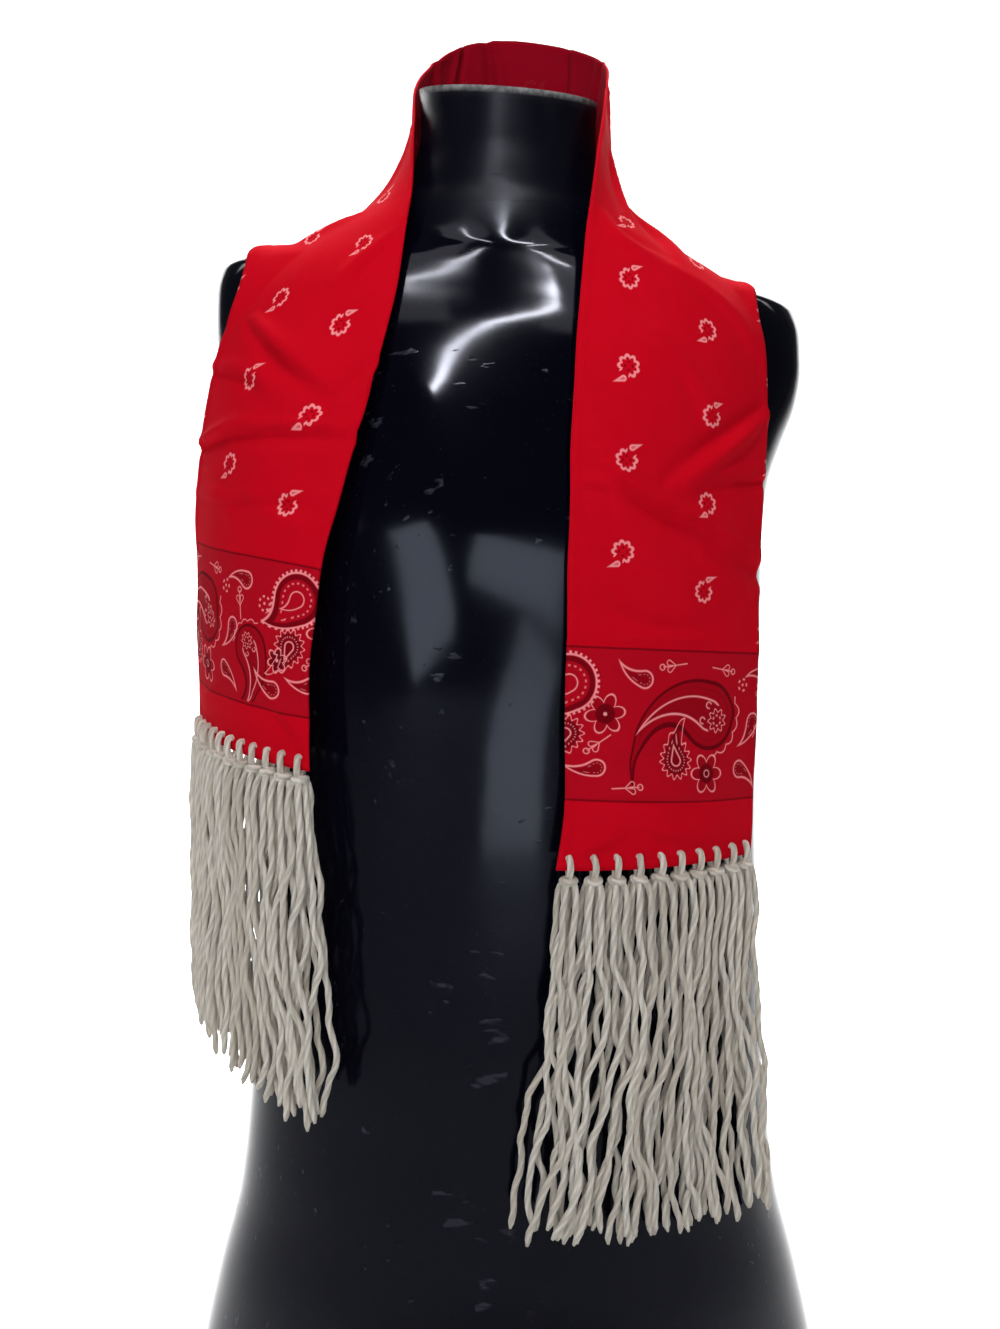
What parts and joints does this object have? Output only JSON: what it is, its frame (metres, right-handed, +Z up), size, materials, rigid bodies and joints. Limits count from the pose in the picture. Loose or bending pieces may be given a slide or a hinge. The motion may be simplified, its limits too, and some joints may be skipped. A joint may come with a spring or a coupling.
{
  "type": "bandana-print fringed scarf on a limbless torso display form",
  "caption": "Red bandana-print cotton scarf with knotted cream yarn fringe, draped round the neck of a glossy black limbless torso display form.",
  "frame": {"origin": "centre of the display form's flat base", "axes": "+Z up the form towards the neck, -Y towards the front of the chest, +X towards the right side of the front view"},
  "size_m": [0.444, 0.2587, 0.9911],
  "materials": {
    "printed_cotton": "plain woven cotton with a discharge print, matt",
    "cream_yarn": "bulky plied yarn, slightly hairy, matt",
    "black_gloss": "glossy black shell with light scuffs"
  },
  "bodies": {
    "root": {"torso_form": "black_gloss", "front_right": "printed_cotton", "neck_stretch": "printed_cotton", "front_left": "printed_cotton", "tassel_right_01": "cream_yarn", "tassel_right_02": "cream_yarn", "tassel_right_03": "cream_yarn", "tassel_right_04": "cream_yarn", "tassel_right_05": "cream_yarn", "tassel_right_06": "cream_yarn", "tassel_right_07": "cream_yarn", "tassel_right_08": "cream_yarn", "tassel_right_09": "cream_yarn", "tassel_right_10": "cream_yarn", "tassel_left_01": "cream_yarn", "tassel_left_02": "cream_yarn", "tassel_left_03": "cream_yarn", "tassel_left_04": "cream_yarn", "tassel_left_05": "cream_yarn", "tassel_left_06": "cream_yarn", "tassel_left_07": "cream_yarn", "tassel_left_08": "cream_yarn", "tassel_left_09": "cream_yarn", "tassel_left_10": "cream_yarn", "tassel_left_11": "cream_yarn"}
  },
  "joints": []
}
